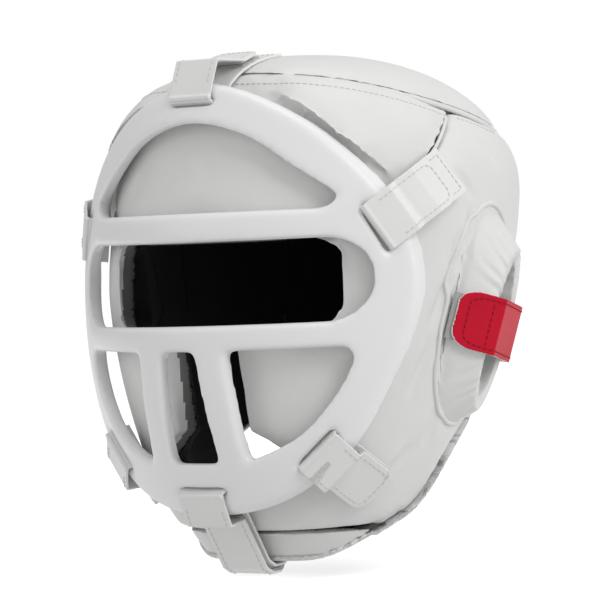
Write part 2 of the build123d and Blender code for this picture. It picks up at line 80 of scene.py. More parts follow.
# %% Place the camera
VIEW_AZIMUTH = math.radians(37.0)
VIEW_ELEVATION = math.radians(1.2)
VIEW_ROLL = math.radians(2.6)
VIEW_DISTANCE = 2.0
FRAME_WIDTH = 0.3366
LOOK_AT = Vector((0.0, -0.0135, 0.0))
camera_data = bpy.data.cameras.new("camera")
camera = bpy.data.objects.new("camera", camera_data)
bpy.context.scene.collection.objects.link(camera)
backwards = Vector((
    math.sin(VIEW_AZIMUTH) * math.cos(VIEW_ELEVATION),
    -math.cos(VIEW_AZIMUTH) * math.cos(VIEW_ELEVATION),
    math.sin(VIEW_ELEVATION),
))
camera.location = LOOK_AT + backwards * VIEW_DISTANCE
turn = backwards.to_track_quat("Z", "Y").to_matrix() @ Matrix.Rotation(-VIEW_ROLL, 3, "Z")
camera.rotation_euler = turn.to_euler()
camera_data.sensor_width = 36.0
camera_data.lens = camera_data.sensor_width * VIEW_DISTANCE / FRAME_WIDTH
camera_data.shift_x = -0.0033
camera_data.shift_y = -0.0278
bpy.context.scene.camera = camera
print("lens", round(camera_data.lens, 1), "mm")

# %% [markdown]
# ## Light and floor
# White leather on white shows its form only through soft shading. A broad light stands
# high at the right, so the brow and the near side turn brightest, and the cheek, jaw and
# far side fall off to pale grey. The surroundings are seen as pure white but light the
# headgear less, as in a studio where the backdrop has lamps of its own. The floor glows
# faintly for the same reason, as a light table does, but sends no light up at the chin.

# %% Light the scene
def area_light(name, place, size, power):
    """A soft square light that points at the headgear."""
    data = bpy.data.lights.new(name, "AREA")
    data.size = size
    data.energy = power
    light = bpy.data.objects.new(name, data)
    bpy.context.scene.collection.objects.link(light)
    light.location = place
    aim = (Vector(place) - LOOK_AT).to_track_quat("Z", "Y")
    light.rotation_euler = aim.to_euler()


area_light("key", (2.3, -0.6, 1.7), 1.1, 22)
area_light("fill", (-1.0, -2.0, 0.9), 1.4, 4)
area_light("top", (0.2, 0.1, 2.2), 1.2, 9)
area_light("side", (2.4, 0.9, 0.7), 1.2, 10)
SURROUND_LIGHT = 0.55
world = bpy.data.worlds.new("white_studio")
bpy.context.scene.world = world
world.use_nodes = True
studio = world.node_tree
backdrop = studio.nodes["Background"]
backdrop.inputs["Color"].default_value = (1, 1, 1, 1)
seen = studio.nodes.new("ShaderNodeLightPath")
level = studio.nodes.new("ShaderNodeMapRange")
level.inputs["To Min"].default_value = SURROUND_LIGHT
level.inputs["To Max"].default_value = 1.0
studio.links.new(seen.outputs["Is Camera Ray"], level.inputs["Value"])
studio.links.new(level.outputs["Result"], backdrop.inputs["Strength"])
bpy.context.scene.view_settings.view_transform = "Standard"

# %% Lay the floor
bpy.ops.object.select_all(action="DESELECT")
FLOOR_DROP = 0.004
bpy.ops.mesh.primitive_plane_add(size=12, location=(0, 0, cad_box[0][2] - FLOOR_DROP))
floor = bpy.context.object
floor.name = "floor"
floor.visible_diffuse = False
print("floor", round(floor.location.z, 3), "m")

# %% [markdown]
# ## Small tools
# Three helpers serve the whole lesson: one turns a hex colour to Blender's linear one,
# one adds a shader node with its settings and links, and one copies frame nodes into a
# new piece whose place stays in its mesh.

# %% Helpers
def linear(code, alpha=1.0):
    """Linear colour from an sRGB hex code."""
    shades = []
    for at in (0, 2, 4):
        level = int(code[at:at + 2], 16) / 255
        shades.append(level / 12.92 if level <= 0.04045 else ((level + 0.055) / 1.055) ** 2.4)
    return (*shades, alpha)


def add(tree, kind, values=None, links=None, **settings):
    """Add a shader node, set its properties and inputs, and link what feeds it."""
    node = tree.nodes.new("ShaderNode" + kind)
    for key, value in settings.items():
        setattr(node, key, value)
    for key, value in (values or {}).items():
        node.inputs[key].default_value = value
    for key, source in (links or {}).items():
        tree.links.new(source, node.inputs[key])
    return node


def activate(piece):
    """Make a piece the only selected and the active object."""
    bpy.ops.object.select_all(action="DESELECT")
    piece.select_set(True)
    bpy.context.view_layer.objects.active = piece


def copy_of(name, *names):
    """A new piece made of copies of frame nodes, joined and with doubles merged."""
    bpy.ops.object.select_all(action="DESELECT")
    copies = []
    for source in names:
        copy = bpy.data.objects.new(name, nodes[source].data.copy())
        copy.data.materials.clear()
        bpy.context.scene.collection.objects.link(copy)
        copy.select_set(True)
        copies.append(copy)
    bpy.context.view_layer.objects.active = copies[0]
    if len(copies) > 1:
        bpy.ops.object.join()
    piece = bpy.context.object
    piece.name = name
    bpy.ops.object.mode_set(mode="EDIT")
    bpy.ops.mesh.select_all(action="SELECT")
    bpy.ops.mesh.remove_doubles(threshold=1e-6)
    bpy.ops.object.mode_set(mode="OBJECT")
    return piece


def remesh(piece, voxel):
    """Give a piece one even skin of small quads."""
    activate(piece)
    piece.data.remesh_voxel_size = voxel
    piece.data.remesh_voxel_adaptivity = 0.0
    bpy.ops.object.voxel_remesh()


def smooth(piece, factor, rounds):
    """Soften a piece's edges by averaging neighbouring points."""
    activate(piece)
    modifier = piece.modifiers.new("soften", "SMOOTH")
    modifier.factor = factor
    modifier.iterations = rounds
    bpy.ops.object.modifier_apply(modifier=modifier.name)


def subdivide(piece, levels=1):
    """Refine a piece with a subdivision surface."""
    activate(piece)
    modifier = piece.modifiers.new("refine", "SUBSURF")
    modifier.levels = levels
    modifier.render_levels = levels
    bpy.ops.object.modifier_apply(modifier=modifier.name)


def points_of(piece):
    """A piece's points as an array."""
    points = np.empty(len(piece.data.vertices) * 3)
    piece.data.vertices.foreach_get("co", points)
    return points.reshape(-1, 3)


def normals_of(piece):
    """A piece's outward directions, one for each point."""
    normals = np.empty(len(piece.data.vertices) * 3)
    piece.data.vertices.foreach_get("normal", normals)
    return normals.reshape(-1, 3)


def faces_of(piece):
    """The middles and outward directions of a piece's faces."""
    values = []
    for field in ("center", "normal"):
        value = np.empty(len(piece.data.polygons) * 3)
        piece.data.polygons.foreach_get(field, value)
        values.append(value.reshape(-1, 3))
    return values


def move_points(piece, points):
    """Put a piece's points at new places."""
    piece.data.vertices.foreach_set("co", np.asarray(points, float).ravel())
    piece.data.update()


def finish_piece(piece, body, material, slot, *stands_for):
    """Give a piece its material, smooth shading, body and the nodes it stands for."""
    piece.data.materials.clear()
    piece.data.materials.append(material)
    activate(piece)
    bpy.ops.object.shade_smooth()
    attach(piece, body)
    if stands_for:
        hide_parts(*stands_for)
    print(piece.name, len(piece.data.polygons), "faces")

# %% [markdown]
# ## Coated leather
# The panels are polyurethane-coated fabric, embossed with a fine pebble grain. The coat
# is dull white with a soft shine on its high spots. The grain is about 0.9 mm across,
# which just shows, and a broad faint mottling keeps large panels from looking flat.

# %% Make the leathers
def grained_leather(name, colour, shade, roughness, grain_mm, depth_mm, mottle=0.5):
    """Coated leather: pebble grain in the bump, faint mottling in colour and shine."""
    material = bpy.data.materials.new(name)
    material.use_nodes = True
    tree = material.node_tree
    shader = tree.nodes["Principled BSDF"]
    where = add(tree, "TexCoord").outputs["Object"]
    grain = add(tree, "TexVoronoi", {"Scale": 1 / (grain_mm * MM)}, {"Vector": where},
                feature="SMOOTH_F1")
    pores = add(tree, "TexNoise", {"Scale": 2.2 / (grain_mm * MM), "Detail": 3}, {"Vector": where})
    clouds = add(tree, "TexNoise", {"Scale": 28.0, "Detail": 4}, {"Vector": where})
    spread = add(tree, "MapRange", {"From Min": 0.3, "From Max": 0.7}, {"Value": clouds.outputs["Fac"]})
    tint = add(tree, "Mix", {6: linear(colour), 7: linear(shade)}, data_type="RGBA")
    share = add(tree, "Math", {1: mottle}, {0: spread.outputs["Result"]}, operation="MULTIPLY")
    tree.links.new(share.outputs[0], tint.inputs[0])
    tree.links.new(tint.outputs[2], shader.inputs["Base Color"])
    shine = add(tree, "MapRange", {"To Min": roughness - 0.05, "To Max": roughness + 0.07},
                {"Value": clouds.outputs["Fac"]})
    tree.links.new(shine.outputs["Result"], shader.inputs["Roughness"])
    mixed = add(tree, "Math", {}, {0: grain.outputs["Distance"], 1: pores.outputs["Fac"]},
                operation="ADD")
    bump = add(tree, "Bump", {"Strength": 0.5, "Distance": depth_mm * MM},
               {"Height": mixed.outputs[0]})
    tree.links.new(bump.outputs["Normal"], shader.inputs["Normal"])
    return material


white_leather = grained_leather("white_coated_leather", "E4E4E3", "DCDCDB", 0.48, 0.9, 0.10)
strap_leather = grained_leather("white_strap_leather", "EAEAE9", "E3E3E2", 0.42, 0.7, 0.07)
red_leather = grained_leather("red_coated_leather", "CC002A", "BC0026", 0.5, 0.8, 0.08)
red_leather.node_tree.nodes["Principled BSDF"].inputs["Specular IOR Level"].default_value = 0.16

# %% [markdown]
# ## Moulded plastic
# The grille is injection moulded in one piece, in a tough satin polymer. A mould leaves
# it even in colour, with a very fine texture that only breaks up the highlights.

# %% Make the plastic
def moulded_plastic(name, colour, roughness):
    """Satin moulded plastic with a fine spark-eroded texture about 0.4 mm across."""
    material = bpy.data.materials.new(name)
    material.use_nodes = True
    tree = material.node_tree
    shader = tree.nodes["Principled BSDF"]
    shader.inputs["Base Color"].default_value = linear(colour)
    where = add(tree, "TexCoord").outputs["Object"]
    texture = add(tree, "TexNoise", {"Scale": 1 / (0.4 * MM), "Detail": 2}, {"Vector": where})
    flow = add(tree, "TexNoise", {"Scale": 35.0, "Detail": 2}, {"Vector": where})
    shine = add(tree, "MapRange", {"To Min": roughness - 0.04, "To Max": roughness + 0.05},
                {"Value": flow.outputs["Fac"]})
    tree.links.new(shine.outputs["Result"], shader.inputs["Roughness"])
    bump = add(tree, "Bump", {"Strength": 0.25, "Distance": 0.03 * MM}, {"Height": texture.outputs["Fac"]})
    tree.links.new(bump.outputs["Normal"], shader.inputs["Normal"])
    return material


white_plastic = moulded_plastic("white_moulded_plastic", "F0F0F0", 0.34)

# %% [markdown]
# ## Cloth, tape and thread
# The lining is black brushed towelling, so dense that it swallows nearly all light. The
# tapes are nylon: one is a field of tiny hooks, the other a brushed nap. The thread is
# twisted polyester.

# %% Make the fabrics
def napped_fabric(name, colour, shade, nap_mm, depth_mm, sheen):
    """Brushed cloth: a soft, irregular nap with a trace of sheen at grazing angles."""
    material = bpy.data.materials.new(name)
    material.use_nodes = True
    tree = material.node_tree
    shader = tree.nodes["Principled BSDF"]
    shader.inputs["Roughness"].default_value = 0.95
    shader.inputs["Sheen Weight"].default_value = sheen
    shader.inputs["Specular IOR Level"].default_value = 0.15
    where = add(tree, "TexCoord").outputs["Object"]
    nap = add(tree, "TexNoise", {"Scale": 1 / (nap_mm * MM), "Detail": 5, "Roughness": 0.7},
              {"Vector": where})
    tint = add(tree, "Mix", {6: linear(colour), 7: linear(shade)}, data_type="RGBA")
    tree.links.new(nap.outputs["Fac"], tint.inputs[0])
    tree.links.new(tint.outputs[2], shader.inputs["Base Color"])
    bump = add(tree, "Bump", {"Strength": 0.8, "Distance": depth_mm * MM}, {"Height": nap.outputs["Fac"]})
    tree.links.new(bump.outputs["Normal"], shader.inputs["Normal"])
    return material


black_towelling = napped_fabric("black_towelling", "050505", "101010", 1.4, 0.8, 0.05)
loop_tape = napped_fabric("grey_loop_tape", "A9A9A8", "C2C2C1", 0.7, 0.3, 0.2)
# Painted shade: a dark grey cloth colour standing in for the shadow on the opening's white inner wall.
painted_shade_strip = napped_fabric("grey_painted_shade_strip", "7E7E7D", "6A6A69", 0.5, 0.2, 0.1)
hook_tape = napped_fabric("white_hook_tape", "D6D6D5", "BDBDBC", 0.9, 0.4, 0.0)
white_thread = napped_fabric("white_thread", "E8E8E7", "CFCFCE", 0.3, 0.1, 0.1)
red_thread = napped_fabric("red_thread", "A80A26", "950822", 0.3, 0.1, 0.1)
floor_paint = moulded_plastic("floor_paint", "F4F4F4", 0.8)
floor_glow = floor_paint.node_tree.nodes["Principled BSDF"].inputs
floor_glow["Emission Color"].default_value = (1, 1, 1, 1)
floor_glow["Emission Strength"].default_value = 0.6
floor.data.materials.append(floor_paint)

# %% [markdown]
# ## The grille
# The real grille is a curved plate with rounded windows whose edges are all well
# rounded. A copy of the frame's plate is given an even skin, and averaging that skin
# rounds the edges by the same amount everywhere, as a mould's radius does.

# %% Shape the grille
GRILLE_VOXEL = 1.4 * MM
ROUNDING_LOSS = 0.45 * MM
grille = copy_of("grille", "face_grille")
remesh(grille, GRILLE_VOXEL)
smooth(grille, 0.5, 36)
move_points(grille, points_of(grille) + normals_of(grille) * ROUNDING_LOSS)
smooth(grille, 0.5, 4)
subdivide(grille)
finish_piece(grille, "shell", white_plastic, "grille_plastic", "face_grille")

# %% [markdown]
# ## Padded panels
# Each panel is leather sewn round a foam sheet, so it swells between its seams and pulls
# in at them. Cloth simulation makes that shape: the panel starts slightly small, is
# blown up from inside, and is stopped before it swells too far.

# %% Blow up a panel
def padded_panel(name, names, voxel, shrink, cap, pressure=4.0):
    """A panel made of frame nodes, remeshed, swollen as cloth and refined."""
    panel = copy_of(name, *names)
    remesh(panel, voxel)
    start = points_of(panel) - normals_of(panel) * shrink
    move_points(panel, start)
    activate(panel)
    cloth = panel.modifiers.new("swell", "CLOTH")
    cloth.settings.use_pressure = True
    cloth.settings.uniform_pressure_force = pressure
    cloth.settings.effector_weights.gravity = 0.0
    cloth.settings.quality = 5
    cloth.settings.tension_stiffness = 15
    cloth.settings.compression_stiffness = 15
    cloth.settings.bending_stiffness = 0.5
    cloth.point_cache.frame_start = 1
    cloth.point_cache.frame_end = 20
    for step in range(1, 21):
        bpy.context.scene.frame_set(step)
    graph = bpy.context.evaluated_depsgraph_get()
    swollen = panel.evaluated_get(graph).to_mesh()
    moved = np.empty(len(swollen.vertices) * 3)
    swollen.vertices.foreach_get("co", moved)
    moved = moved.reshape(-1, 3)
    panel.evaluated_get(graph).to_mesh_clear()
    panel.modifiers.remove(cloth)
    bpy.context.scene.frame_set(1)
    shift = moved - start
    length = np.linalg.norm(shift, axis=1, keepdims=True)
    shift *= np.minimum(1.0, cap / np.maximum(length, 1e-9))
    move_points(panel, start + shift)
    smooth(panel, 0.5, 2)
    subdivide(panel)
    return panel


PANEL_VOXEL = 3.2 * MM
SHRINK = 1.2 * MM
SWELL = 2.4 * MM
crown = padded_panel("crown_panel", ("crown_cover", "crown_foam"), PANEL_VOXEL, SHRINK, SWELL)
forehead = padded_panel("forehead_panel", ("forehead_cover", "forehead_foam"),
                        PANEL_VOXEL, SHRINK, SWELL)
side_left = padded_panel("side_panel_left", ("side_cover_left", "side_foam_left"),
                         PANEL_VOXEL, SHRINK, SWELL)
rear_left = padded_panel("rear_panel_left", ("rear_cover_left", "rear_foam_left"),
                         PANEL_VOXEL, SHRINK, SWELL)
chin = padded_panel("chin_panel", ("chin_cover", "chin_foam"), 2.6 * MM, SHRINK, 2.0 * MM)
ring_left = padded_panel("ear_ring_left", ("ear_ring_cover_left", "ear_ring_foam_left"),
                         2.4 * MM, 1.0 * MM, 2.4 * MM)

# %% [markdown]
# ## Creases
# Coated leather stretched over foam creases where a strap pulls or where the panel turns
# under the grille. Each crease is a shallow valley between two low ridges, pressed into
# the mesh along a line, so it catches the light from every side.

# %% Press in creases
def crease(piece, start, end, depth, width):
    """Press a fading valley with ridges beside it into a piece, from start to end."""
    points = points_of(piece)
    normals = normals_of(piece)
    start, end = np.array(start) * MM, np.array(end) * MM
    run = end - start
    share = np.clip((points - start) @ run / (run @ run), 0.0, 1.0)
    away = points - (start + share[:, None] * run)
    away -= normals * np.sum(away * normals, axis=1, keepdims=True)
    outer = np.sum(normals * (points / np.linalg.norm(points, axis=1, keepdims=True)), axis=1)
    distance = np.linalg.norm(away, axis=1) / (width * MM)
    fade = np.sin(math.pi * np.clip(share * 0.96 + 0.02, 0.0, 1.0)) ** 0.7
    profile = -np.exp(-distance**2) + 0.55 * np.exp(-(distance - 1.7) ** 2 * 1.6)
    move_points(piece, points + normals * (profile * fade * (outer > 0.3) * depth * MM)[:, None])


SIDE_CREASES = [
    ((103, -8, 40), (105, -22, 10), 2.0, 2.6),
    ((104, -20, 30), (104, -32, -4), 1.5, 2.4),
    ((104, -27, 12), (102, -42, -20), 1.8, 2.6),
    ((104, -20, -4), (101, -33, -36), 1.5, 2.8),
    ((98, -40, -28), (92, -52, -56), 1.5, 3.0),
    ((100, -20, 62), (104, -6, 44), 1.3, 3.0),
    ((97, 8, 78), (100, 22, 62), 0.8, 3.6),
    ((90, -44, -84), (80, -58, -104), 1.3, 3.2),
    ((99, -30, -66), (92, -34, -88), 1.2, 3.6),
    ((88, 52, 30), (96, 40, 12), 0.9, 3.2),
]
for start, end, depth, width in SIDE_CREASES:
    crease(side_left, start, end, depth, width)
for start, end, depth, width in [((0, -104, 82), (10, -112, 66), 0.6, 5.0),
                                 ((-40, -100, 66), (-52, -98, 52), 0.5, 5.0)]:
    crease(forehead, start, end, depth, width)
print(len(SIDE_CREASES), "creases in each side panel")

# %% [markdown]
# ## Gathers round the ear hole
# The ring's leather is cut flat and drawn into the hole, so it gathers there: short
# radial puckers that die out over the ring's crown.

# %% Gather the ring
EAR_TURN, EAR_CANT, EAR_LEAN = (math.radians(angle) for angle in (20.0, 15.0, 11.0))
ear_axis = Vector((math.cos(EAR_TURN) * math.cos(EAR_CANT),
                   math.sin(EAR_TURN) * math.cos(EAR_CANT), -math.sin(EAR_CANT)))
ear_flat = Vector((-math.sin(EAR_TURN), math.cos(EAR_TURN), 0.0))
ear_rise = ear_axis.cross(ear_flat)
ear_across = ear_flat * math.cos(EAR_LEAN) - ear_rise * math.sin(EAR_LEAN)
ear_along = ear_flat * math.sin(EAR_LEAN) + ear_rise * math.cos(EAR_LEAN)
low, high = (np.array(corner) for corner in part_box("ear_ring_cover_left"))
ring_points = points_of(nodes["ear_ring_cover_left"])
ear_middle = Vector(((low + high) / 2).tolist())
HOLE_HALF = (13.0, 35.0)
GATHERS = 26

points = points_of(ring_left)
normals = normals_of(ring_left)
offset = points - np.array(ear_middle)
across = offset @ np.array(ear_across) / (HOLE_HALF[0] * MM)
along = offset @ np.array(ear_along) / (HOLE_HALF[1] * MM)
spread = np.hypot(across, along)
angle = np.arctan2(along, across)
wander = np.array([noise.noise(Vector(point) * 60) for point in points])
ripple = np.sin(GATHERS * angle + 3.0 * wander) + 0.5 * np.sin(GATHERS * 1.7 * angle + 1.0)
reach = np.clip((1.75 - spread) / 0.75, 0.0, 1.0)
move_points(ring_left, points + normals * (0.55 * MM * ripple * reach)[:, None])
print("ring middle", [round(value * 1000, 1) for value in ear_middle])


# %% Mirror the near side
def mirrored(piece, name):
    """A copy of a piece reflected in the plane X = 0, with its faces still outwards."""
    other = bpy.data.objects.new(name, piece.data.copy())
    bpy.context.scene.collection.objects.link(other)
    other.data.transform(Matrix.Scale(-1, 4, (1, 0, 0)))
    other.data.flip_normals()
    return other


side_right = mirrored(side_left, "side_panel_right")
rear_right = mirrored(rear_left, "rear_panel_right")
ring_right = mirrored(ring_left, "ear_ring_right")

# %% Cover the panels
finish_piece(crown, "shell", white_leather, "white_leather", "crown_cover", "crown_foam")
finish_piece(forehead, "shell", white_leather, "white_leather",
             "forehead_cover", "forehead_foam", "face_opening_edge")
finish_piece(chin, "shell", white_leather, "white_leather", "chin_cover", "chin_foam")
for side, panel, wing, ring in (("left", side_left, rear_left, ring_left),
                                ("right", side_right, rear_right, ring_right)):
    finish_piece(panel, "shell", white_leather, "white_leather",
                 "side_cover_" + side, "side_foam_" + side)
    finish_piece(wing, "rear_wing_" + side, white_leather, "white_leather",
                 "rear_cover_" + side, "rear_foam_" + side)
    finish_piece(ring, "shell", white_leather, "white_leather",
                 "ear_ring_cover_" + side, "ear_ring_foam_" + side)

# %% [markdown]
# ## Bindings and piping
# The shell's lower edge is bound in folded leather, and a corded piping closes the seam
# round the crown and the foot of each ring. The bindings are the frame's own strips,
# rounded. The piping is a round cord laid on the panels: rays from outside find the seam.

# %% Round the bindings
BINDING_VOXEL = 0.9 * MM
for name, body in (("neck_binding", "shell"), ("rear_binding_left", "rear_wing_left"),
                   ("rear_binding_right", "rear_wing_right")):
    binding = copy_of(name + "_fold", name)
    remesh(binding, BINDING_VOXEL)
    smooth(binding, 0.5, 4)
    move_points(binding, points_of(binding) + normals_of(binding) * 0.45 * MM)
    finish_piece(binding, body, white_leather, "white_leather", name)


# %% Lay piping
def surface_of(*pieces):
    """One search tree over the surfaces of several pieces."""
    points, faces = [], []
    for piece in pieces:
        start = len(points)
        points += [vertex.co.copy() for vertex in piece.data.vertices]
        faces += [[start + index for index in face.vertices] for face in piece.data.polygons]
    return BVHTree.FromPolygons(points, faces)


def seated(tree, spot, inward):
    """Where a line from spot along inward meets a surface, with its outward direction."""
    place, facing, _, _ = tree.ray_cast(spot, inward)
    return (place, facing) if place is not None else (None, None)


def cord(name, path, radius, closed=False):
    """A round cord along a path, made as a bevelled curve and turned to a mesh."""
    bpy.ops.object.select_all(action="DESELECT")
    data = bpy.data.curves.new(name, "CURVE")
    data.dimensions = "3D"
    data.bevel_depth = radius
    data.bevel_resolution = 3
    data.use_fill_caps = True
    spline = data.splines.new("POLY")
    spline.points.add(len(path) - 1)
    spline.points.foreach_set("co", [value for spot in path for value in (*spot, 1.0)])
    spline.use_cyclic_u = closed
    piece = bpy.data.objects.new(name, data)
    bpy.context.scene.collection.objects.link(piece)
    activate(piece)
    bpy.ops.object.convert(target="MESH")
    return bpy.context.object


CROWN_HEIGHT = 95.5 * MM
CROWN_SLOPE = -0.25
CROWN_CORD = 1.6 * MM
CORD_PROUD = 0.6 * MM
FAR = 0.3
body_surface = surface_of(crown, forehead, side_left, side_right, rear_left, rear_right)


def seam_spot(angle, below=0.0):
    """A point of the crown seam, or below it, and the way the shell faces there."""
    out = Vector((math.cos(angle), math.sin(angle), CROWN_SLOPE * math.sin(angle)))
    hub = Vector((0.0, 0.0, CROWN_HEIGHT - below))
    return seated(body_surface, hub + out * FAR, -out)


ABOVE_SEAM = 3.0 * MM
SEAM_STEPS = 180
crown_path = []
for step in range(SEAM_STEPS):
    place, facing = seam_spot(math.tau * step / SEAM_STEPS, -ABOVE_SEAM)
    if place is not None:
        crown_path.append(place + facing * CORD_PROUD - Vector((0, 0, ABOVE_SEAM)))
for _ in range(3):
    crown_path = [(crown_path[at - 1] + spot + crown_path[(at + 1) % len(crown_path)]) / 3
                  for at, spot in enumerate(crown_path)]
finish_piece(cord("crown_piping", crown_path, CROWN_CORD, closed=True),
             "shell", white_leather, "white_leather")

# %% Lay the welts
WELT = 1.0 * MM
ASIDE = 3.0 * MM
TEMPLE_HEIGHT = 91.9 * MM
TEMPLE_SLOPE = 0.70
REAR_SEAM_Y = 55.0 * MM
side_skin = surface_of(forehead, side_left, rear_left)


def welt(name, spots, aside):
    """A thin cord along a seam, seated between the panels on either side of it."""
    path = []
    for spot in spots:
        hits = [seated(side_skin, spot + aside * sign + Vector((FAR, 0, 0)), Vector((-1, 0, 0)))
                for sign in (-1, 1)]
        if all(place is not None for place, _ in hits):
            path.append((hits[0][0] + hits[1][0]) / 2 + (hits[0][1] + hits[1][1]) * WELT * 0.1)
    for _ in range(4):
        inner = [(path[at - 1] + path[at] + path[at + 1]) / 3 for at in range(1, len(path) - 1)]
        path = [path[0]] + inner + [path[-1]]
    return cord(name, path, WELT)


temple_spots = [Vector((0, y * MM, TEMPLE_HEIGHT + TEMPLE_SLOPE * y * MM))
                for y in range(1, -58, -2)]
temple_aside = Vector((0, -TEMPLE_SLOPE, 1)).normalized() * ASIDE
rear_spots = [Vector((0, REAR_SEAM_Y - CROWN_SLOPE * z * MM, z * MM)) for z in range(76, -66, -2)]
rear_aside = Vector((0, 1, CROWN_SLOPE)).normalized() * ASIDE
for name, spots, aside in (("temple_welt", temple_spots, temple_aside),
                           ("rear_welt", rear_spots, rear_aside)):
    near = welt(name + "_left", spots, aside)
    for piece in (near, mirrored(near, name + "_right")):
        finish_piece(piece, "shell", white_leather, "white_leather")

# %% Pipe the foot of each ring
RING_FOOT_HALF = (30.0, 60.0)
side_surface = surface_of(side_left, rear_left, crown)
foot_path = []
for step in range(120):
    angle = math.tau * step / 120
    out = (ear_across * math.cos(angle) * RING_FOOT_HALF[0]
           + ear_along * math.sin(angle) * RING_FOOT_HALF[1]) * MM
    place, facing = seated(side_surface, ear_middle + out + ear_axis * 0.06, -ear_axis)
    if place is not None:
        foot_path.append(place + facing * 0.3 * MM)
foot_left = cord("ear_ring_piping_left", foot_path, 1.3 * MM, closed=True)
foot_right = mirrored(foot_left, "ear_ring_piping_right")
for foot in (foot_left, foot_right):
    finish_piece(foot, "shell", white_leather, "white_leather")

# %% [markdown]
# ## Stitches
# Every seam is a lockstitch in heavy thread: short raised beads about 2.6 mm long, a
# little apart, sunk at both ends. One bead is modelled and copied along each row, where
# rays find the surface that it sits on.

# %% Model one stitch
STITCH_LENGTH = 2.6 * MM
STITCH_PITCH = 3.3 * MM
THREAD = 0.38 * MM
bpy.ops.object.select_all(action="DESELECT")
bpy.ops.mesh.primitive_uv_sphere_add(segments=8, ring_count=6, radius=1.0)
bead = bpy.context.object
bead.name = "stitch"
bpy.ops.object.mode_set(mode="EDIT")
bpy.ops.mesh.select_all(action="SELECT")
bpy.ops.transform.resize(value=(THREAD, THREAD, STITCH_LENGTH / 2))
bpy.ops.object.mode_set(mode="OBJECT")
bead_points = points_of(bead)
bead_faces = [tuple(face.vertices) for face in bead.data.polygons]
bpy.data.objects.remove(bead)


def even_spots(path, pitch):
    """Places at even distances along a path, with the direction of the path at each."""
    spots = []
    carried = pitch / 2
    for first, second in zip(path, path[1:]):
        run = (second - first).length
        while carried < run:
            spots.append((first.lerp(second, carried / run), (second - first).normalized()))
            carried += pitch
        carried -= run
    return spots


def sew(name, rows, body, thread, slot="strap_leather"):
    """Lay stitches along rows of (place, facing) and make them one piece."""
    points, faces = [], []
    for row in rows:
        tree_facing = [facing for _, facing in row]
        path = [place for place, _ in row]
        for place, ahead in even_spots(path, STITCH_PITCH):
            nearest = min(range(len(path)), key=lambda at: (path[at] - place).length)
            facing = tree_facing[nearest]
            side = facing.cross(ahead).normalized()
            turned = np.array([side, ahead.cross(side), ahead]).T
            start = len(points) * len(bead_points)
            points.append(bead_points @ turned.T + np.array(place + facing * THREAD * 0.35))
            faces += [tuple(start + index for index in face) for face in bead_faces]
    mesh = bpy.data.meshes.new(name)
    mesh.from_pydata(np.concatenate(points).tolist(), [], faces)
    piece = bpy.data.objects.new(name, mesh)
    bpy.context.scene.collection.objects.link(piece)
    finish_piece(piece, body, thread, slot)
    return piece


def unbroken(row):
    """The stretches of a row between the places where its rays met nothing."""
    stretches = [[]]
    for spot in row:
        if spot[0] is None:
            stretches.append([])
        else:
            stretches[-1].append(spot)
    return [stretch for stretch in stretches if len(stretch) > 2]


SEAM_ALLOWANCE = 5.5 * MM
crown_row = [seam_spot(math.tau * step / SEAM_STEPS, SEAM_ALLOWANCE)
             for step in range(-45, SEAM_STEPS - 44)]
front_row = [spot if spot[0] is None or spot[0].y < 40 * MM else (None, None)
             for spot in crown_row]
sew("crown_stitches", unbroken(front_row), "shell", white_thread, "white_leather")

# %% [markdown]
# ## Straps
# A strap is two layers of coated fabric with folded edges, stitched 3 mm in from its
# border. Each flap turns round the slot's bar, so a rounded fold joins it to its base.
# The straps follow the frame's own pieces, given an even skin and softened edges.

# %% Round the straps
STRAP_VOXEL = 0.6 * MM
FOLD_RADIUS = 1.5 * MM
STRAP_EDGE = 3.0 * MM


class Strap:
    """A strap's own axes: along it, across it and away from the head."""

    def __init__(self, flap, joint, width):
        self.start = Vector(joints[joint]["pos_m"])
        self.across = Vector(joints[joint]["axis"]).normalized()
        middle = Vector(points_of(nodes[flap]).mean(axis=0).tolist())
        along = middle - self.start
        self.along = (along - self.across * along.dot(self.across)).normalized()
        self.outward = self.along.cross(self.across)
        if self.outward.dot(middle) < 0:
            self.outward.negate()
        reach = (points_of(nodes[flap]) - np.array(self.start)) @ np.array(self.along)
        self.length = reach.max()
        self.half = width / 2

    def spot(self, tree, along, across):
        """Where the strap's face lies at a place given along and across it."""
        over = self.start + self.along * along + self.across * across + self.outward * 0.08
        return seated(tree, over, -self.outward)

    def border(self, tree, inset, start, corner=5.0 * MM, closed=False):
        """A row along the strap's border, inset, round its far end."""
        wide = self.half - inset
        far = self.length - inset
        plan = [(start, -wide), (far - corner, -wide)]
        for step in range(1, 6):
            angle = math.pi / 2 * step / 6
            plan.append((far - corner + corner * math.sin(angle),
                         -wide + corner - corner * math.cos(angle)))
        plan += [(far, -wide + corner), (far, wide - corner)]
        for step in range(1, 6):
            angle = math.pi / 2 * step / 6
            plan.append((far - corner + corner * math.cos(angle),
                         wide - corner + corner * math.sin(angle)))
        plan += [(far - corner, wide), (start, wide)]
        if closed:
            plan.append(plan[0])
        dense = []
        for (u1, v1), (u2, v2) in zip(plan, plan[1:]):
            count = max(1, int(math.hypot(u2 - u1, v2 - v1) / MM))
            dense += [(u1 + (u2 - u1) * at / count, v1 + (v2 - v1) * at / count)
                      for at in range(count)]
        dense.append(plan[-1])
        row = [self.spot(tree, u, v) for u, v in dense]
        return [spot for spot in row if spot[0] is not None]


